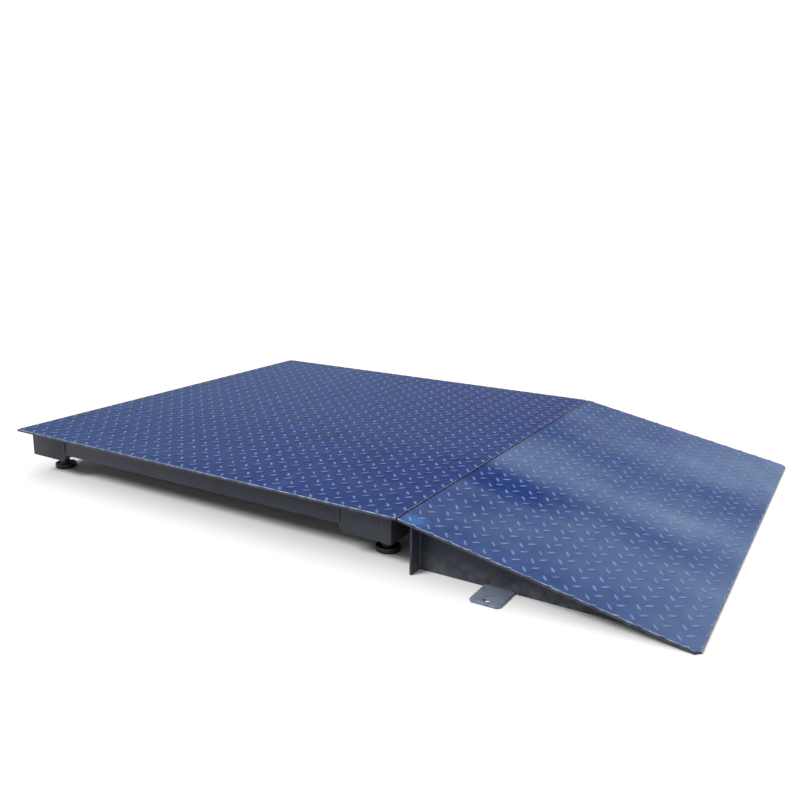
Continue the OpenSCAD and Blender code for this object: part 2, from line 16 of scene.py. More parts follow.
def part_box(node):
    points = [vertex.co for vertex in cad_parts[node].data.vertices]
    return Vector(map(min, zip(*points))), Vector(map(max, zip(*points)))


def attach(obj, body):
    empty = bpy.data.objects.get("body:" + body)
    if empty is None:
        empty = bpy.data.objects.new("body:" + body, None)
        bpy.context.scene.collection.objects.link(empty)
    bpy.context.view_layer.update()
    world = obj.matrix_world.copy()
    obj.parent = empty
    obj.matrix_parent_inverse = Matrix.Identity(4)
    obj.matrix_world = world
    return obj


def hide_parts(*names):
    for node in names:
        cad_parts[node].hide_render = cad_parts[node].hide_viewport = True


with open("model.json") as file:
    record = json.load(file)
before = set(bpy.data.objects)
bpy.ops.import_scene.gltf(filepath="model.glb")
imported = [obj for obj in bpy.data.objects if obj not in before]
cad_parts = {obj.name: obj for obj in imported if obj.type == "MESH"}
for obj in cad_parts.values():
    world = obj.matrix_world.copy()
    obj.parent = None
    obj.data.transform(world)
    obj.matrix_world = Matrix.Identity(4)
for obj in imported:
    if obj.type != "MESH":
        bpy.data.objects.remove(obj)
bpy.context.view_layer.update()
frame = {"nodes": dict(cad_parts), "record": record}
NODES = frame["nodes"]
NODE_BODY = {node: body for body, nodes in frame["record"]["behaviour"]["bodies"].items() for node in nodes}
NODE_SLOT = {part["node"]: part["material_slot"] for part in frame["record"]["subparts"]}
MM = 0.001
TINY = 1e-7

DECK_LOW, DECK_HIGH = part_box("deck_plate")
RAMP_LOW, RAMP_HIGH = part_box("ramp_plate")


# ------------------------------------------------------------------ camera, floor, light

CAMERA_AT = (1.0937, -1.9373, 0.7428)
CAMERA_YAW = math.radians(30.46)
CAMERA_PITCH = math.radians(13.7)
CAMERA_ROLL = math.radians(0.75)
LENS_MM = 37.2
SENSOR_MM = 36.0
FLOOR_HALF = 60.0
FLOOR_GAP = 0.2 * MM
FLOOR_GREY = 0.83

# The sky's brightness, from the lowest direction to the highest
SKY = [(0.0, 1.0), (0.213, 1.0), (0.25, 0.20), (0.60, 0.28), (0.85, 1.3)]


def make_camera():
    data = bpy.data.cameras.new("camera")
    data.lens = LENS_MM
    data.sensor_width = SENSOR_MM
    data.clip_end = 200
    camera = bpy.data.objects.new("camera", data)
    bpy.context.scene.collection.objects.link(camera)
    turn = Matrix.Rotation(CAMERA_YAW, 4, "Z")
    tilt = Matrix.Rotation(math.pi / 2 - CAMERA_PITCH, 4, "X")
    roll = Matrix.Rotation(CAMERA_ROLL, 4, "Z")
    camera.matrix_world = Matrix.Translation(CAMERA_AT) @ turn @ tilt @ roll
    bpy.context.scene.camera = camera


def make_floor():
    """A pale matt floor, a hair below the soles so that the faces don't meet."""
    mesh = bpy.data.meshes.new("floor")
    corners = [(x * FLOOR_HALF, y * FLOOR_HALF, 0) for x, y in ((-1, -1), (1, -1), (1, 1), (-1, 1))]
    mesh.from_pydata(corners, [], [(0, 1, 2, 3)])
    floor = bpy.data.objects.new("floor", mesh)
    bpy.context.scene.collection.objects.link(floor)
    floor.location.z = -FLOOR_GAP
    matt = bpy.data.materials.new("floor")
    matt.use_nodes = True
    shader = matt.node_tree.nodes["Principled BSDF"]
    shader.inputs["Base Color"].default_value = (FLOOR_GREY, FLOOR_GREY, FLOOR_GREY, 1)
    shader.inputs["Roughness"].default_value = 0.9
    shader.inputs["Specular IOR Level"].default_value = 0.1
    mesh.materials.append(matt)


def make_world():
    """A pale studio: white at the horizon, a dimmer band above it, bright overhead."""
    world = bpy.data.worlds.new("studio")
    bpy.context.scene.world = world
    world.use_nodes = True
    tree = world.node_tree
    coords = tree.nodes.new("ShaderNodeTexCoord")
    split = tree.nodes.new("ShaderNodeSeparateXYZ")
    ramp = tree.nodes.new("ShaderNodeValToRGB")
    tree.links.new(coords.outputs["Generated"], split.inputs[0])
    tree.links.new(split.outputs["Z"], ramp.inputs["Fac"])
    tree.links.new(ramp.outputs["Color"], tree.nodes["Background"].inputs["Color"])
    elements = ramp.color_ramp.elements
    while len(elements) < len(SKY):
        elements.new(0.5)
    for element, (place, value) in zip(elements, SKY):
        element.position = place
        element.color = (value, value, value, 1)


def sun_light(name, towards, spread, strength):
    """A soft sun shining along the given direction, the same over the whole floor."""
    data = bpy.data.lights.new(name, "SUN")
    data.angle = math.radians(spread)
    data.energy = strength
    light = bpy.data.objects.new(name, data)
    bpy.context.scene.collection.objects.link(light)
    light.rotation_euler = Vector(towards).to_track_quat("-Z", "Y").to_euler()


def make_lights():
    sun_light("key", (0.55, 0.75, -0.95), 24, 2.5)
    sun_light("rim", (0.6, -0.75, -0.95), 30, 0.35)


# ------------------------------------------------------------------ material building

MATERIALS = {}


class Paint:
    """Builds one node material, with short names for the nodes it needs."""

    def __init__(self, name, roughness=0.5, metallic=0.0, specular=0.5):
        made = bpy.data.materials.new(name)
        made.use_nodes = True
        self.tree = made.node_tree
        self.shader = self.tree.nodes["Principled BSDF"]
        self.shader.inputs["Roughness"].default_value = roughness
        self.shader.inputs["Metallic"].default_value = metallic
        self.shader.inputs["Specular IOR Level"].default_value = specular
        self.coords = self.tree.nodes.new("ShaderNodeTexCoord").outputs["Object"]
        MATERIALS[name] = made

    def feed(self, socket, value):
        """Links another node's output to a socket, or sets the socket. A colour is (red, green, blue)."""
        if isinstance(value, bpy.types.NodeSocket):
            self.tree.links.new(value, socket)
        elif socket.type == "RGBA":
            socket.default_value = (*value, 1.0)
        else:
            socket.default_value = value

    def node(self, kind, **inputs):
        """A new node with the inputs given. From_Min stands for the socket called From Min."""
        made = self.tree.nodes.new(kind)
        for key, value in inputs.items():
            self.feed(made.inputs[key.replace("_", " ")], value)
        return made

    def noise(self, scale, detail=4.0, stretch=None, shift=(0, 0, 0)):
        vector = self.coords
        if stretch:
            mapping = self.node("ShaderNodeMapping", Vector=vector, Location=shift, Scale=stretch)
            vector = mapping.outputs[0]
        made = self.node("ShaderNodeTexNoise", Vector=vector, Scale=scale, Detail=detail, Roughness=0.55)
        return made.outputs["Fac"]

    def span(self, value, low, high, to_low=0.0, to_high=1.0):
        """The value carried from the range low..high to to_low..to_high, and held at its ends."""
        limits = {"From_Min": low, "From_Max": high, "To_Min": to_low, "To_Max": to_high}
        return self.node("ShaderNodeMapRange", Value=value, **limits).outputs[0]

    def two_inputs(self, kind, operation, a, b):
        made = self.node(kind)
        made.operation = operation
        self.feed(made.inputs[0], a)
        self.feed(made.inputs[1], b)
        return made.outputs["Value"]

    def maths(self, operation, a, b=0.0):
        return self.two_inputs("ShaderNodeMath", operation, a, b)

    def vectors(self, operation, a, b):
        return self.two_inputs("ShaderNodeVectorMath", operation, a, b)

    def add(self, a, b):
        return self.maths("ADD", a, b)

    def times(self, a, b):
        return self.maths("MULTIPLY", a, b)

    def mix(self, factor, a, b):
        """Colour a where the factor is 0, colour b where it is 1."""
        made = self.node("ShaderNodeMix")
        made.data_type = "RGBA"
        self.feed(made.inputs[0], factor)
        self.feed(made.inputs[6], a)
        self.feed(made.inputs[7], b)
        return made.outputs[2]

    def edges(self, radius):
        """1 on edges sharper than the radius, 0 on flat faces."""
        rounded = self.node("ShaderNodeBevel", Radius=radius)
        rounded.samples = 4
        true = self.node("ShaderNodeNewGeometry").outputs["Normal"]
        agreement = self.vectors("DOT_PRODUCT", rounded.outputs[0], true)
        return self.span(agreement, 0.995, 0.93)

    def colour(self, value):
        self.feed(self.shader.inputs["Base Color"], value)

    def rough(self, value):
        self.feed(self.shader.inputs["Roughness"], value)

    def bump(self, height, depth, strength, on=None):
        """Bump from a height, on top of another bump if one is given. Returns its normal."""
        made = self.node("ShaderNodeBump", Height=height, Strength=strength, Distance=depth)
        if on is not None:
            self.feed(made.inputs["Normal"], on)
        self.feed(self.shader.inputs["Normal"], made.outputs[0])
        return made.outputs[0]


def tinted(colour, factor):
    return tuple(part * factor for part in colour)


# ------------------------------------------------------------------ materials

LUG_ATTRIBUTE = "lug"
DUST_HEIGHT = 55 * MM
RUBBED_RADIUS = 1.6 * MM


def dust_and_sheen_share(p, cloud, dust_and_sheen_gradients, tracks):
    """How much of the dust colour each place of a tread plate takes: broad dust patches, gradients that are
    partly dust and partly painted sheen, and bands along X that are painted sheen.
    """
    broad = p.noise(3.6, stretch=(0.4, 1.0, 1.0), shift=(0.0, 0.3, 0.0))
    place = p.node("ShaderNodeSeparateXYZ", Vector=p.coords).outputs
    dust = p.span(broad, 0.36, 0.66, -0.20, 0.28)
    # Gradients along an axis towards the dust colour: partly dust, partly painted sheen.
    for axis, bluer_end, greyer_end, share in dust_and_sheen_gradients:
        dust = p.add(dust, p.span(place[axis], bluer_end, greyer_end, 0.0, share))
    # Bands along X, lighter or darker: painted sheen streaks.
    for middle, half_width, share in tracks:
        offset = p.maths("ABSOLUTE", p.maths("SUBTRACT", place["Y"], middle))
        dust = p.add(dust, p.span(offset, half_width, 0.0, 0.0, share))
    return p.times(dust, p.span(cloud, 0.25, 0.75, 0.7, 1.15))


def painted_glint(p, tone, fine, centre, radius, colour):
    """A painted glint: a brighter blue spot with a ragged edge."""
    distance = p.vectors("DISTANCE", p.coords, centre)
    ragged = p.add(distance, p.span(fine, 0.3, 0.7, -0.012, 0.012))
    return p.mix(p.span(ragged, radius, radius * 0.2, 0.0, 0.75), tone, colour)


def tread_paint(name, base, dust_and_sheen_colour, rubbed_and_highlight, dust_and_sheen_gradients, tracks=(), glint_spot=None):
    """Blue paint on tread plate: dust and painted sheen, scuffs, painted shade round the lugs' feet, and
    lighter lug tops, partly rubbed paint and partly a painted highlight.

    The gradients are partly dust and partly painted sheen, as (axis, bluer end, greyer end, share). The
    tracks are bands along X, lighter or darker than the rest, painted sheen streaks, as (y, half width,
    share). The glint spot is (centre, radius, colour) of a painted glint.
    """
    p = Paint(name, specular=0.06)
    lug = p.node("ShaderNodeAttribute")
    lug.attribute_name = LUG_ATTRIBUTE
    height = lug.outputs["Fac"]
    cloud = p.noise(9.0)
    fine = p.noise(34.0, detail=5.0)
    speck = p.noise(260.0, detail=2.0)
    scuff = p.noise(16.0, detail=6.0, stretch=(1.0, 0.14, 1.0))

    tone = p.mix(p.span(fine, 0.3, 0.7), tinted(base, 0.72), tinted(base, 1.25))
    tone = p.mix(p.span(cloud, 0.5, 0.72, 0.0, 0.4), tone, tinted(base, 0.5))
    # The dust colour's share: dust, and a painted sheen in the gradients and bands.
    dust = dust_and_sheen_share(p, cloud, dust_and_sheen_gradients, tracks)
    tone = p.mix(dust, tone, dust_and_sheen_colour)
    # A painted glint: a brighter blue spot.
    if glint_spot:
        tone = painted_glint(p, tone, fine, *glint_spot)
    tone = p.mix(p.times(p.span(scuff, 0.64, 0.78), 0.3), tone, rubbed_and_highlight)

    # Painted shade: the ground darkened round each lug's foot.
    lug_foot_shade = p.times(p.span(height, 0.0, 0.25), p.span(height, 0.55, 0.25))
    tone = p.mix(p.times(lug_foot_shade, 0.55), tone, tinted(base, 0.3))
    # Lighter lug tops: partly paint rubbed off by traffic, partly a painted highlight.
    lug_top_rub_and_highlight = p.times(p.span(height, 0.35, 0.8), p.span(fine, 0.28, 0.62, 0.35, 1.0))
    tone = p.mix(p.times(lug_top_rub_and_highlight, 0.85), tone, rubbed_and_highlight)
    p.colour(p.mix(p.times(p.span(speck, 0.68, 0.8), 0.3), tone, dust_and_sheen_colour))

    gloss = p.add(p.span(fine, 0.25, 0.75, 0.24, 0.36), p.times(dust, 0.18))
    p.rough(p.maths("SUBTRACT", gloss, p.times(lug_top_rub_and_highlight, 0.04)))
    orange_peel = p.bump(p.noise(700.0, detail=1.0), 0.02 * MM, 0.6)
    p.bump(fine, 0.4 * MM, 0.35, on=orange_peel)


def edge_paint(name, base, bright):
    """The sheared edge of a tread plate: paint rubbed through to dull metal in places. Its base colour
    holds painted light: a painted highlight on the chamfer, painted shade on the sides.
    """
    p = Paint(name)
    chips = p.noise(70.0, detail=6.0)
    smear = p.noise(420.0, detail=3.0, stretch=(0.15, 0.15, 1.0))
    tone = p.mix(p.span(chips, 0.42, 0.6), base, bright)
    p.colour(p.mix(p.span(smear, 0.3, 0.7, 0.0, 0.4), tone, tinted(base, 0.7)))
    p.rough(p.span(chips, 0.35, 0.65, 0.5, 0.36))
    p.bump(smear, 0.2 * MM, 0.5)


def frame_paint(name, base, edge, dust, gloss=0.42):
    """Satin paint on welded steel: faint orange peel, rubbed edges, and dust low down."""
    p = Paint(name, specular=0.2)
    cloud = p.noise(9.0)
    fine = p.noise(60.0, detail=5.0)
    tone = p.mix(p.span(cloud, 0.3, 0.7), tinted(base, 0.8), tinted(base, 1.25))
    height = p.node("ShaderNodeSeparateXYZ", Vector=p.coords).outputs["Z"]
    dirt = p.times(p.span(height, DUST_HEIGHT, 0.0), p.span(fine, 0.35, 0.7, 0.1, 0.55))
    tone = p.mix(dirt, tone, dust)
    rubbed = p.times(p.edges(RUBBED_RADIUS), p.span(fine, 0.42, 0.6, 0.08, 0.85))
    p.colour(p.mix(rubbed, tone, edge))
    p.rough(p.add(p.span(cloud, 0.25, 0.75, gloss - 0.06, gloss + 0.08), p.times(dirt, 0.3)))
    orange_peel = p.bump(p.noise(520.0, detail=2.0), 0.12 * MM, 0.45)
    p.bump(cloud, 0.6 * MM, 0.25, on=orange_peel)


def steel(name, base, dark, gloss, grain):
    """Plated or brushed steel: grain along one direction, and stains."""
    p = Paint(name, metallic=1.0)
    streak = p.noise(260.0, stretch=grain)
    stain = p.noise(48.0, detail=5.0)
    tone = p.mix(p.span(streak, 0.3, 0.7), tinted(base, 0.86), base)
    p.colour(p.mix(p.span(stain, 0.58, 0.74, 0.0, 0.6), tone, dark))
    p.rough(p.add(p.span(streak, 0.3, 0.7, gloss, gloss + 0.12), p.span(stain, 0.55, 0.75, 0.0, 0.15)))
    p.bump(streak, 0.08 * MM, 0.5)


def moulded(name, base, dust, gloss, grain_scale, depth):
    """Moulded rubber or plastic, or a casting: fine texture, and dust in patches."""
    p = Paint(name, specular=0.4)
    grain = p.noise(grain_scale, detail=3.0)
    cloud = p.noise(40.0, detail=5.0)
    tone = p.mix(p.span(cloud, 0.3, 0.7), tinted(base, 0.8), tinted(base, 1.3))
    p.colour(p.mix(p.span(cloud, 0.52, 0.78, 0.0, 0.45), tone, dust))
    p.rough(p.span(grain, 0.3, 0.7, gloss - 0.06, gloss + 0.08))
    p.bump(grain, depth, 0.6)


def circuit(name):
    """Green solder mask with a grid of copper tracks under it."""
    p = Paint(name, roughness=0.35)
    tracks = p.node(
        "ShaderNodeTexBrick", Vector=p.coords, Scale=160.0, Mortar_Size=0.06,
        Color1=(0.012, 0.10, 0.035), Color2=(0.016, 0.13, 0.045), Mortar=(0.05, 0.24, 0.09),
    )
    p.colour(tracks.outputs["Color"])
    p.bump(tracks.outputs["Fac"], 0.04 * MM, 0.6)


def make_tread_paints():
    tread_paint(
        "deck_paint", base=(0.007, 0.025, 0.138), dust_and_sheen_colour=(0.032, 0.066, 0.155), rubbed_and_highlight=(0.155, 0.22, 0.44),
        # Greyer towards the deck's left end: partly dust, partly painted sheen.
        dust_and_sheen_gradients=[("X", DECK_HIGH.x, DECK_LOW.x, 0.75)],
    )
    # A painted glint: a brighter blue spot by the ramp's near top corner.
    corner_glint = (RAMP_LOW.x + 30 * MM, RAMP_LOW.y + 22 * MM, RAMP_HIGH.z)
    tread_paint(
        "ramp_paint", base=(0.010, 0.033, 0.155), dust_and_sheen_colour=(0.130, 0.190, 0.310), rubbed_and_highlight=(0.165, 0.230, 0.410),
        # Greyer towards the toe and the far side: partly dust, partly painted sheen. The bands along X are
        # painted sheen streaks.
        dust_and_sheen_gradients=[("X", RAMP_LOW.x, RAMP_HIGH.x, 0.42), ("Y", RAMP_LOW.y, RAMP_HIGH.y, 0.36)],
        tracks=[
            (-0.08, 0.17, 0.30), (0.12, 0.12, -0.09), (-0.22, 0.09, -0.06), (0.39, 0.22, 0.14),
            (-0.34, 0.05, 0.12),
        ],
        glint_spot=(corner_glint, 32 * MM, (0.05, 0.155, 0.43)),
    )
    # The chamfer: rubbed paint, and lighter as a painted highlight line.
    edge_paint("plate_edge_rub_and_highlight", base=(0.10, 0.13, 0.20), bright=(0.34, 0.38, 0.44))
    # The sides: a dark navy that is painted shade.
    edge_paint("plate_side_shade", base=(0.008, 0.012, 0.034), bright=(0.036, 0.046, 0.074))


def make_frame_paints():
    frame_paint(
        "frame_paint", base=(0.0250, 0.0275, 0.0385), edge=(0.12, 0.125, 0.135), dust=(0.10, 0.097, 0.090)
    )
    frame_paint(
        "apron_paint", base=(0.0240, 0.0250, 0.0320), edge=(0.11, 0.115, 0.125), dust=(0.12, 0.115, 0.105)
    )
    frame_paint(
        "ramp_frame_paint", base=(0.018, 0.022, 0.033), edge=(0.10, 0.115, 0.15), dust=(0.135, 0.138, 0.145)
    )
    frame_paint(
        "tab_paint", base=(0.093, 0.130, 0.21), edge=(0.30, 0.33, 0.38), dust=(0.24, 0.245, 0.25), gloss=0.5
    )
    frame_paint(
        "weld", base=(0.026, 0.029, 0.037), edge=(0.13, 0.14, 0.16), dust=(0.11, 0.105, 0.095), gloss=0.36
    )


def make_metals():
    steel("zinc", (0.62, 0.62, 0.60), dark=(0.30, 0.27, 0.22), gloss=0.28, grain=(1.0, 1.0, 0.2))
    steel("cell_steel", (0.56, 0.56, 0.54), dark=(0.34, 0.33, 0.31), gloss=0.30, grain=(1.0, 0.08, 1.0))
    steel("stainless", (0.58, 0.59, 0.60), dark=(0.40, 0.40, 0.40), gloss=0.30, grain=(1.0, 0.06, 1.0))


def make_mouldings():
    moulded("cable_jacket", (0.014, 0.014, 0.015), (0.07, 0.068, 0.06), 0.45, 900.0, 0.03 * MM)
    moulded("rubber", (0.010, 0.010, 0.010), (0.060, 0.057, 0.050), 0.70, 1400.0, 0.06 * MM)
    moulded("foot_casting", (0.011, 0.011, 0.012), (0.042, 0.041, 0.037), 0.42, 600.0, 0.12 * MM)
    moulded("gland_nylon", (0.020, 0.020, 0.021), (0.07, 0.068, 0.06), 0.42, 1500.0, 0.03 * MM)
    moulded("terminal_plastic", (0.02, 0.16, 0.06), (0.09, 0.16, 0.09), 0.40, 1500.0, 0.03 * MM)
    circuit("circuit_board")


# ------------------------------------------------------------------ mesh helpers

WELD_DISTANCE = 0.01 * MM
SMOOTH_BELOW = math.radians(32)
REPLACED = set()


def make_object(name, mesh, body, slot, replaces=(), materials=None):
    """A finished piece: in the scene, with its material, riding on its body."""
    made = bpy.data.objects.new(name, mesh)
    bpy.context.scene.collection.objects.link(made)
    for material in materials or [slot]:
        mesh.materials.append(MATERIALS[material])
    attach(made, body)
    if replaces:
        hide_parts(*replaces)
        REPLACED.update(replaces)


def bm_to_mesh(bm, name):
    mesh = bpy.data.meshes.new(name)
    bmesh.ops.recalc_face_normals(bm, faces=bm.faces[:])
    bm.to_mesh(mesh)
    bm.free()
    return mesh


def ring_at(bm, centre, z, radii):
    """A ring of points round a vertical axis, one for each radius."""
    ring = []
    for k, radius in enumerate(radii):
        angle = 2 * math.pi * k / len(radii)
        x = centre.x + radius * math.cos(angle)
        y = centre.y + radius * math.sin(angle)
        ring.append(bm.verts.new((x, y, z)))
    return ring


def skin_rings(bm, rings):
    """Smooth faces from each ring to the next, and a face over each end."""
    sides = len(rings[0])
    for low, high in zip(rings, rings[1:]):
        for k in range(sides):
            m = (k + 1) % sides
            bm.faces.new((low[k], low[m], high[m], high[k])).smooth = True
    bm.faces.new(rings[0][::-1])
    bm.faces.new(rings[-1])


def revolve(bm, centre, profile, sides):
    """A solid of revolution about Z from (radius, z) points, with radius 0 at both ends."""
    rings = []
    for radius, z in profile:
        if radius < TINY:
            rings.append([bm.verts.new((centre.x, centre.y, z))])
        else:
            rings.append(ring_at(bm, centre, z, [radius] * sides))
    for low, high in zip(rings, rings[1:]):
        for k in range(sides):
            m = (k + 1) % sides
            corners = [low[k % len(low)], low[m % len(low)], high[m % len(high)], high[k % len(high)]]
            bm.faces.new(list(dict.fromkeys(corners))).smooth = True


def smooth_faces(made):
    for face in made.data.polygons:
        face.use_smooth = True


def soften(made, width):
    """Rounds a CAD node's edges with modifiers, leaving its own mesh as it is."""
    made.modifiers.new("weld", "WELD").merge_threshold = WELD_DISTANCE
    flat = made.modifiers.new("flat", "DECIMATE")
    flat.decimate_type = "DISSOLVE"
    flat.angle_limit = math.radians(0.6)
    bevel = made.modifiers.new("bevel", "BEVEL")
    bevel.width = width
    bevel.segments = 2
    bevel.limit_method = "ANGLE"
    bevel.angle_limit = math.radians(35)
    bevel.use_clamp_overlap = True
    bevel.harden_normals = True
    smooth_faces(made)


def smooth_cable(made):
    """Rounds a cable's eight-sided tube with modifiers."""
    made.modifiers.new("weld", "WELD").merge_threshold = WELD_DISTANCE
    made.modifiers.new("round", "SUBSURF").render_levels = 1
    smooth_faces(made)


# ------------------------------------------------------------------ one cell of tread

PITCH = 42 * MM
LUG_HALF_L = 13 * MM
LUG_HALF_W = 4.2 * MM
LUG_H = 1.6 * MM
LUG_SIDES = 12
LUG_POINTED = 0.32

# Each ring up a lug: its share of the foot's outline, and its share of the height
LUG_RINGS = [(0.80, 0.62), (0.46, 0.94)]

# The two lugs of a cell: the centre as a share of the pitch, and the angle
LUG_PLACES = [((0.30, 0.26), math.radians(-52)), ((0.66, 0.76), math.radians(48))]


def lug_outline(centre, angle):
    """Points round a lug's foot, in plan: an oval with pointed ends."""
    points = []
    for k in range(LUG_SIDES):
        t = 2 * math.pi * k / LUG_SIDES
        along = LUG_HALF_L * math.cos(t)
        across = LUG_HALF_W * math.sin(t) * (1 - LUG_POINTED * math.cos(t) ** 2)
        x = centre[0] + along * math.cos(angle) - across * math.sin(angle)
        y = centre[1] + along * math.sin(angle) + across * math.cos(angle)
        points.append(Vector((x, y)))
    return points


def tread_ground(feet):
    """The flat ground of one cell, with the lugs' feet cut out. Returns plan points and triangles."""
    corners = [Vector(c) * PITCH for c in ((0, 0), (1, 0), (1, 1), (0, 1))]
    plan = corners + [point for foot in feet for point in foot]
    loops = [range(4)] + [range(4 + i * LUG_SIDES, 4 + (i + 1) * LUG_SIDES) for i in range(len(feet))]
    edges = [(loop[k], loop[(k + 1) % len(loop)]) for loop in loops for k in range(len(loop))]
    _, _, triangles, origins, _, _ = delaunay_2d_cdt(plan, edges, [], 0, TINY)
    source = [origin[0] for origin in origins]
    owner = [None] * 4 + [i for i in range(len(feet)) for _ in range(LUG_SIDES)]
    faces = []
    for triangle in triangles:
        ids = tuple(source[v] for v in triangle)
        owners = {owner[v] for v in ids}
        inside_one_lug = len(owners) == 1 and None not in owners
        if not inside_one_lug:
            faces.append(ids)
    return plan, faces


def tread_tile():
    """One cell of tread: flat ground with two raised lugs. Returns points, faces and smooth flags."""
    centres = [Vector(place) * PITCH for place, _ in LUG_PLACES]
    feet = [lug_outline(centre, angle) for centre, (_, angle) in zip(centres, LUG_PLACES)]
    plan, faces = tread_ground(feet)
    ground_faces = len(faces)
    points = [(point.x, point.y, 0.0) for point in plan]
    for i, (foot, centre) in enumerate(zip(feet, centres)):
        below = range(4 + i * LUG_SIDES, 4 + (i + 1) * LUG_SIDES)
        for share, height in LUG_RINGS:
            above = range(len(points), len(points) + LUG_SIDES)
            points += [(*(centre + (point - centre) * share), height * LUG_H) for point in foot]
            for k in range(LUG_SIDES):
                m = (k + 1) % LUG_SIDES
                faces.append((below[k], below[m], above[m], above[k]))
            below = above
        top = len(points)
        points.append((centre.x, centre.y, LUG_H))
        faces += [(below[k], below[(k + 1) % LUG_SIDES], top) for k in range(LUG_SIDES)]
    smooth = [number >= ground_faces for number in range(len(faces))]
    return np.array(points), faces, smooth


def tread_sheet(size_x, size_y):
    """The top face of a sheet of tread, from the origin, a little larger than size_x by size_y."""
    points, faces, smooth = tread_tile()
    columns = math.ceil(size_x / PITCH) + 1
    rows = math.ceil(size_y / PITCH) + 1
    cells = [np.array([i * PITCH, j * PITCH, 0]) for i in range(columns) for j in range(rows)]
    all_points = np.concatenate([points + cell for cell in cells])
    all_faces = [tuple(v + n * len(points) for v in face) for n in range(len(cells)) for face in faces]
    mesh = bpy.data.meshes.new("sheet")
    mesh.from_pydata(all_points.tolist(), [], all_faces)
    mesh.polygons.foreach_set("use_smooth", smooth * len(cells))
    bm = bmesh.new()
    bm.from_mesh(mesh)
    bpy.data.meshes.remove(mesh)
    bmesh.ops.remove_doubles(bm, verts=bm.verts[:], dist=1e-6)
    return bm


# ------------------------------------------------------------------ tread plates

RIM = 1.0 * MM

# Places of a tread plate's material slots
EDGE_SLOT, SIDE_SLOT, UNDER_SLOT = 1, 2, 3


def cut_to(bm, limits):
    """Cuts a sheet to size, short by the rim that finish_plate adds."""
    for point, outward in limits:
        short = Vector(point) - Vector(outward).normalized() * RIM
        geometry = bm.verts[:] + bm.edges[:] + bm.faces[:]
        bmesh.ops.bisect_plane(
            bm, geom=geometry, dist=TINY, plane_co=short, plane_no=outward, clear_outer=True
        )


def extrude_rim(bm, place, slot):
    """Extrudes the open rim once, and puts each new point at place(co)."""
    rim = [edge for edge in bm.edges if edge.is_boundary]
    for item in bmesh.ops.extrude_edge_only(bm, edges=rim)["geom"]:
        if isinstance(item, bmesh.types.BMFace):
            item.smooth = False
            item.material_index = slot
        elif isinstance(item, bmesh.types.BMVert):
            item.co = place(item.co)


def finish_plate(bm, limits, under):
    """Adds a chamfer, the sides and the underside, whose height is under(x). The chamfer's paint is rubbed
    and lighter as a painted highlight; the sides' paint is darker as painted shade.
    """

    def chamfer(co):
        moved = co.copy()
        for point, outward in limits:
            direction = Vector(outward).normalized()
            gap = (Vector(point) - co).dot(direction)
            if gap < 1.5 * RIM:
                moved += direction * gap
        moved.z -= RIM
        return moved

    extrude_rim(bm, chamfer, EDGE_SLOT)
    extrude_rim(bm, lambda co: Vector((co.x, co.y, under(co.x))), SIDE_SLOT)
    rim = [edge for edge in bm.edges if edge.is_boundary]
    base = bmesh.ops.contextual_create(bm, geom=rim)["faces"]
    for face in base:
        face.smooth = False
        face.material_index = UNDER_SLOT
    bmesh.ops.triangulate(bm, faces=base)


def mark_lugs(mesh, height_at):
    """Writes how far up its lug each point is, 0 on the ground and 1 on top."""
    values = [max(0.0, min(1.0, height_at(vert.co) / LUG_H)) for vert in mesh.vertices]
    mesh.attributes.new(LUG_ATTRIBUTE, "FLOAT", "POINT").data.foreach_set("value", values)


DECK_PHASE = (-0.92, -0.01)
DECK_MATERIALS = ["deck_paint", "plate_edge_rub_and_highlight", "plate_side_shade", "frame_paint"]


def make_deck():
    size = DECK_HIGH - DECK_LOW
    bm = tread_sheet(size.x, size.y)
    start = (DECK_LOW.x + DECK_PHASE[0] * PITCH, DECK_LOW.y + DECK_PHASE[1] * PITCH, DECK_HIGH.z)
    bmesh.ops.translate(bm, verts=bm.verts[:], vec=start)
    limits = [
        (DECK_LOW, (-1, 0, 0)), (DECK_LOW, (0, -1, 0)), (DECK_HIGH, (1, 0, 0)), (DECK_HIGH, (0, 1, 0))
    ]
    cut_to(bm, limits)
    finish_plate(bm, limits, lambda x: DECK_LOW.z)
    mesh = bm_to_mesh(bm, "deck_tread")
    mark_lugs(mesh, lambda co: co.z - DECK_HIGH.z)
    make_object("deck_tread", mesh, "platform", "deck_paint", ["deck_plate"], DECK_MATERIALS)


RAMP_T = 6 * MM
TOE_RUN = 2 * MM
TOE_CHAMFER = 10 * MM
RAMP_PHASE = (-0.81, -0.81)
RAMP_MATERIALS = ["ramp_paint", "plate_edge_rub_and_highlight", "plate_side_shade", "ramp_frame_paint"]


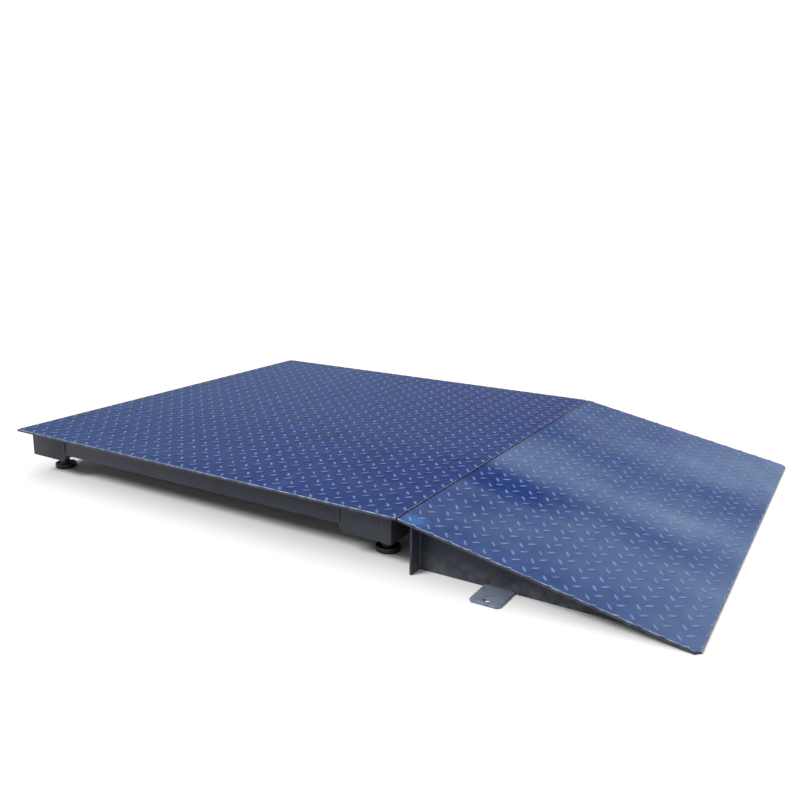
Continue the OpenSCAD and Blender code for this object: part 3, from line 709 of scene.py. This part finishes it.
def make_ramp():
    run = RAMP_HIGH.x - TOE_RUN - RAMP_LOW.x
    slope = math.atan2(RAMP_HIGH.z - RAMP_T, run)
    drop = RAMP_T / math.cos(slope)
    seam_corner = Matrix.Translation((RAMP_LOW.x, RAMP_LOW.y, RAMP_HIGH.z))

    def top_at(x):
        return RAMP_HIGH.z - math.tan(slope) * (x - RAMP_LOW.x)

    bm = tread_sheet(run / math.cos(slope) + PITCH, RAMP_HIGH.y - RAMP_LOW.y)
    bmesh.ops.translate(bm, verts=bm.verts[:], vec=(RAMP_PHASE[0] * PITCH, RAMP_PHASE[1] * PITCH, 0))
    bm.transform(seam_corner @ Matrix.Rotation(slope, 4, "Y"))
    limits = [
        (RAMP_LOW, (-1, 0, 0)), (RAMP_HIGH, (1, 0, 0)), (RAMP_LOW, (0, -1, 0)), (RAMP_HIGH, (0, 1, 0))
    ]
    for side in (-1, 1):
        limits.append(((RAMP_HIGH.x - TOE_CHAMFER, side * RAMP_HIGH.y, 0), (1, side, 0)))
    cut_to(bm, limits)
    finish_plate(bm, limits, lambda x: max(0.0, top_at(x) - drop))
    mesh = bm_to_mesh(bm, "ramp_tread")
    mark_lugs(mesh, lambda co: (co.z - top_at(co.x)) * math.cos(slope))
    make_object("ramp_tread", mesh, "ramp", "ramp_paint", ["ramp_plate"], RAMP_MATERIALS)


# ------------------------------------------------------------------ studs, soles and screws

STUD_R = 6 * MM
NECK_R = 5.6 * MM
BALL_R = 10 * MM
BALL_STEPS = 12
STUD_SIDES = 32
NECK_Z = 27 * MM
FLAT_Z = (29 * MM, 36 * MM)
FLAT_HALF = 5 * MM
THREAD_OVERLAP = 1 * MM
THREAD_DEPTH = 1.0 * MM
THREAD_PITCH = 1.75 * MM
THREAD_SIDES = 24
THREAD_ROWS = 4


def thread_profile(phase):
    """Share of the thread's depth at a phase of its turn: a flat root, flanks and a flat crest."""
    return min(1.0, max(0.0, 1.6 * (1 - abs(2 * (phase % 1) - 1)) - 0.25))


def threaded_rod(bm, centre, z0, z1):
    """A right-hand thread along Z, closed at both ends, that fades out within a turn of each."""
    rows = max(2, round((z1 - z0) / THREAD_PITCH * THREAD_ROWS))
    rings = []
    for i in range(rows + 1):
        z = z0 + (z1 - z0) * i / rows
        fade = max(0.0, min(1.0, (z1 - z) / THREAD_PITCH, (z - z0) / THREAD_PITCH))
        radii = []
        for k in range(THREAD_SIDES):
            crest = thread_profile(z / THREAD_PITCH - k / THREAD_SIDES) * fade
            radii.append(STUD_R - THREAD_DEPTH * (1 - crest))
        rings.append(ring_at(bm, centre, z, radii))
    skin_rings(bm, rings)


def make_stud(corner):
    """A foot's stud: its ball, a plain neck with two spanner flats, and the thread above."""
    node = f"foot_stud_{corner}"
    low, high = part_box(node)
    centre = (low + high) / 2
    ball_z = low.z + BALL_R
    neck_angle = math.asin(NECK_R / BALL_R)
    profile = [(0.0, low.z)]
    for i in range(1, BALL_STEPS + 1):
        angle = math.pi - (math.pi - neck_angle) * i / BALL_STEPS
        profile.append((BALL_R * math.sin(angle), ball_z + BALL_R * math.cos(angle)))
    neck_top = FLAT_Z[1] + THREAD_OVERLAP
    profile += [(NECK_R, NECK_Z), (NECK_R, neck_top), (0.0, neck_top)]
    bm = bmesh.new()
    revolve(bm, centre, profile, STUD_SIDES)
    for vert in bm.verts:
        if FLAT_Z[0] < vert.co.z < FLAT_Z[1]:
            vert.co.y = centre.y + max(-FLAT_HALF, min(FLAT_HALF, vert.co.y - centre.y))
    threaded_rod(bm, centre, FLAT_Z[1], high.z)
    make_object(f"stud_{corner}", bm_to_mesh(bm, "stud"), NODE_BODY[node], "zinc", [node])


# Radius and height of the sole's outline in millimetres, from its middle round its ring grooves
SOLE_PROFILE = [
    (0.0, 1.0), (5.0, 1.0), (6.0, 0.0), (11.0, 0.0), (12.0, 1.0), (14.0, 1.0), (15.0, 0.0), (20.0, 0.0),
    (20.8, 1.0), (22.4, 1.0), (23.2, 0.0), (26.0, 0.0), (26.8, 0.5), (27.0, 1.2), (27.0, 3.0), (26.6, 3.7),
    (26.0, 4.0), (0.0, 4.0),
]
SOLE_SIDES = 64


def make_sole(corner):
    """A moulded rubber sole with ring grooves on its underside."""
    node = f"foot_sole_{corner}"
    low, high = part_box(node)
    bm = bmesh.new()
    profile = [(radius * MM, low.z + z * MM) for radius, z in SOLE_PROFILE]
    revolve(bm, (low + high) / 2, profile, SOLE_SIDES)
    mesh = bm_to_mesh(bm, "sole")
    mesh.set_sharp_from_angle(angle=SMOOTH_BELOW)
    make_object(f"sole_{corner}", mesh, NODE_BODY[node], "rubber", [node])


SCREW_HEAD_R = 4 * MM
SCREW_SIDES = 36

# A lid screw from the floor of its socket over its head to its tip, in millimetres:
# radius, height above the head's lowest face, and whether the ring is the socket's hexagon
SCREW_RINGS = [
    (1.95, 1.8, True), (2.05, 0.35, True), (2.35, 0.0, False), (2.9, 0.05, False), (3.65, 0.5, False),
    (4.0, 1.2, False), (4.0, 2.35, False), (3.9, 2.5, False), (2.0, 2.5, False), (2.0, 21.1, False),
    (1.6, 21.5, False),
]


def hexagon(angle):
    """Radius of a hexagon at an angle, as a share of its radius at the corners."""
    side = math.pi / 3
    return math.cos(side / 2) / math.cos(angle % side - side / 2)


def lid_screw(bm, centre, low_z):
    """A pan-head screw pointing up, with a hexagon socket in its head."""
    angles = [2 * math.pi * k / SCREW_SIDES for k in range(SCREW_SIDES)]
    rings = []
    for radius, height, in_socket in SCREW_RINGS:
        radii = [radius * MM * (hexagon(angle) if in_socket else 1.0) for angle in angles]
        rings.append(ring_at(bm, centre, low_z + height * MM, radii))
    skin_rings(bm, rings)


def make_lid_screws():
    low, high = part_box("junction_box_screws")
    bm = bmesh.new()
    for x in (low.x + SCREW_HEAD_R, high.x - SCREW_HEAD_R):
        for y in (low.y + SCREW_HEAD_R, high.y - SCREW_HEAD_R):
            lid_screw(bm, Vector((x, y)), low.z)
    mesh = bm_to_mesh(bm, "lid_screws")
    mesh.set_sharp_from_angle(angle=SMOOTH_BELOW)
    make_object("lid_screws", mesh, "platform", "zinc", ["junction_box_screws"])


# ------------------------------------------------------------------ weld beads

BEAD_R = 3.2 * MM
SMALL_BEAD_R = 2.6 * MM
BEAD_SIDES = 8
BEAD_FLATTENED = 0.8
BEAD_TIP = 0.08
RIPPLE = 2.6 * MM
RIPPLE_DEPTH = 0.09
RINGS_PER_RIPPLE = 3
UNEVEN = 0.16
SWAY = 0.12


def weld_bead(bm, start, end, out, radius, number):
    """A rippled fillet bead along a seam, bulging towards out, with rounded ends.

    Its number in the group makes its unevenness differ from the other beads'.
    """
    start, end, out = Vector(start), Vector(end), Vector(out).normalized()
    along = (end - start).normalized()
    side = along.cross(out)
    length = (end - start).length
    rows = max(6, round(length / RIPPLE * RINGS_PER_RIPPLE))
    rings = []
    for i in range(rows + 1):
        s = i / rows * length
        from_end = min(1.0, min(s, length - s) / radius)
        cap = math.sqrt(max(0.0, 1 - (1 - from_end) ** 2))
        ripple = 1 + RIPPLE_DEPTH * math.cos(2 * math.pi * s / RIPPLE)
        uneven = 1 + UNEVEN * noise.noise(Vector((s * 90, number * 7.3, 0.5)))
        r = max(radius * BEAD_TIP, radius * cap * ripple * uneven)
        sway = radius * SWAY * noise.noise(Vector((s * 60, number * 3.1, 9.5)))
        middle = start + along * s + side * sway
        ring = []
        for k in range(BEAD_SIDES):
            angle = 2 * math.pi * k / BEAD_SIDES
            offset = out * math.cos(angle) * BEAD_FLATTENED + side * math.sin(angle)
            ring.append(bm.verts.new(middle + offset * r))
        rings.append(ring)
    skin_rings(bm, rings)


def make_welds(name, body, slot, seams, radius):
    """One piece holding every bead of a group. A seam is (start, end, outward direction)."""
    bm = bmesh.new()
    for number, (start, end, out) in enumerate(seams):
        weld_bead(bm, start, end, out, radius, number)
    make_object(name, bm_to_mesh(bm, name), body, slot, materials=["weld"])


# Stitch welds: the length of each seam, and the gap to the next
FRAME_STITCH = (45 * MM, 75 * MM)
RIB_STITCH = (50 * MM, 130 * MM)
GUSSET_STITCH = (40 * MM, 90 * MM)
END_PLATE_STITCH = (45 * MM, 85 * MM)

# How far seams stop short of the lower and upper ends of an upright edge
SHORT_BELOW = 2 * MM
SHORT_ABOVE = 3 * MM


def stitched(start, end, out, stitch):
    """Short seams with gaps between, spread evenly along a line."""
    start, end = Vector(start), Vector(end)
    length, gap = stitch
    count = max(1, int(((end - start).length + gap) / (length + gap)))
    step = (end - start) / count
    half = step * length / (length + gap) / 2
    middles = [start + step * (i + 0.5) for i in range(count)]
    return [(middle - half, middle + half, out) for middle in middles]


def platform_seams():
    """Where the side beams, the corner boxes and the left end beam meet each other and the deck."""
    beam_low, beam_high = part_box("side_beam_near")
    left_box_low, left_box_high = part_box("corner_box_near_left")
    right_box_low, right_box_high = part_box("corner_box_near_right")
    end_low, end_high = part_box("end_beam_left")
    half_width = -beam_low.y
    from_corner = 12 * MM
    from_apron = 30 * MM
    seams = []
    for side in (-1, 1):
        y = side * half_width
        bottom, top = beam_low.z + SHORT_BELOW, beam_high.z - SHORT_ABOVE
        for x in (left_box_high.x, right_box_low.x):
            seams.append(((x, y, bottom), (x, y, top), (0, side, 0)))
        start = (left_box_low.x + from_corner, y, beam_high.z)
        end = (right_box_high.x - from_apron, y, beam_high.z)
        seams += stitched(start, end, (0, side, -1), FRAME_STITCH)

        x, y = end_low.x, side * end_high.y
        bottom, top = end_low.z + SHORT_BELOW, end_high.z - SHORT_ABOVE
        seams.append(((x, y, bottom), (x, y, top), (-1, 0, 0)))
        start = (x, side * from_corner, end_high.z)
        end = (x, side * (half_width - from_corner), end_high.z)
        seams += stitched(start, end, (-1, 0, -1), FRAME_STITCH)
    return seams


def rib_seams():
    """Along both sides of the ribs under the deck."""
    from_end = 15 * MM
    seams = []
    for node in sorted(name for name in NODES if name.startswith("deck_rib_")):
        low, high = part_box(node)
        for y, side in ((low.y, -1), (high.y, 1)):
            start, end = (low.x + from_end, y, high.z), (high.x - from_end, y, high.z)
            seams += stitched(start, end, (0, side, -1), RIB_STITCH)
    return seams


def apron_seams():
    """At the free edges of the apron's returns, against the corner boxes, and along the deck."""
    low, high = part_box("ramp_side_apron")
    apron_t = 4 * MM
    bottom, top = low.z + 8 * MM, high.z - 6 * MM
    from_corner = 10 * MM
    seams = []
    for side in (-1, 1):
        y = side * (high.y - apron_t)
        seams.append(((low.x, y, bottom), (low.x, y, top), (-1, side, 0)))
    start, end = (high.x, low.y + from_corner, high.z), (high.x, high.y - from_corner, high.z)
    seams += stitched(start, end, (1, 0, -1), FRAME_STITCH)
    return seams


def ramp_seams():
    """Between the ramp's gussets, tabs, end plate and tread plate."""
    plate_low, plate_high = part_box("ramp_end_plate")
    tab_low, tab_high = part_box("ramp_anchor_tabs")
    under_plate = 4 * MM
    from_tab_edge = 3 * MM
    from_end_plate = 20 * MM
    down_slope = 0.8
    from_side = 15 * MM
    seams = []
    for side, node in ((-1, "ramp_gusset_near"), (1, "ramp_gusset_far")):
        low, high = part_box(node)
        y = low.y if side < 0 else high.y
        top = high.z - under_plate
        seams.append(((low.x, y, SHORT_BELOW), (low.x, y, top), (1, side, 0)))
        start, end = (tab_low.x + from_tab_edge, y, tab_high.z), (tab_high.x - from_tab_edge, y, tab_high.z)
        seams.append((start, end, (0, side, 1)))
        size = high - low
        start = (low.x + from_end_plate, y, top)
        end = (low.x + size.x * down_slope, y, high.z - size.z * down_slope)
        seams += stitched(start, end, (0, side, -1), GUSSET_STITCH)
    z = plate_high.z - 0.5 * MM
    for x, out in ((plate_low.x, -1), (plate_high.x, 1)):
        start, end = (x, plate_low.y + from_side, z), (x, plate_high.y - from_side, z)
        seams += stitched(start, end, (out, 0, -1), END_PLATE_STITCH)
    return seams


# ------------------------------------------------------------------ assembling

# Edge radius in millimetres of the CAD nodes whose names start so. The longest start that fits counts
SOFT_EDGES = {
    "side_beam": 1.2,
    "end_beam": 1.2,
    "deck_rib": 0.8,
    "corner_box": 1.2,
    "ramp_side_apron": 0.8,
    "ramp_end_plate": 0.6,
    "ramp_gusset": 0.6,
    "ramp_ribs": 0.6,
    "ramp_anchor_tabs": 0.7,
    "load_cell_spacers": 0.5,
    "load_cell_bolts": 0.5,
    "load_cell_washers": 0.3,
    "load_cell": 0.5,
    "foot_lock_nuts": 0.5,
    "foot_cup": 0.5,
    "foot_ring": 0.4,
    "junction_box_body": 0.5,
    "junction_box_lid": 0.4,
    "junction_box_bracket": 0.4,
    "terminal_blocks": 0.3,
    "cable_glands": 0.3,
    "output_gland": 0.3,
    "cable_grommet": 0.4,
    "cable_clips": 0.2,
}


def dress_cad_nodes():
    """Every CAD node that stays gets its material, and rounded edges where it has corners."""
    for name, made in NODES.items():
        if name in REPLACED:
            continue
        made.data.materials.clear()
        made.data.materials.append(MATERIALS[NODE_SLOT[name]])
        starts = [start for start in SOFT_EDGES if name.startswith(start)]
        if starts:
            soften(made, SOFT_EDGES[max(starts, key=len)] * MM)
        elif name.startswith("cell_cable"):
            smooth_cable(made)


bpy.context.scene.view_settings.view_transform = "Standard"
make_camera()
make_floor()
make_world()
make_lights()
make_tread_paints()
make_frame_paints()
make_metals()
make_mouldings()
make_deck()
make_ramp()
for corner in ("near_left", "near_right", "far_left", "far_right"):
    make_stud(corner)
    make_sole(corner)
make_welds("platform_welds", "platform", "frame_paint", platform_seams() + rib_seams(), BEAD_R)
make_welds("apron_welds", "platform", "apron_paint", apron_seams(), SMALL_BEAD_R)
make_welds("ramp_welds", "ramp", "ramp_frame_paint", ramp_seams(), BEAD_R)
make_lid_screws()
dress_cad_nodes()
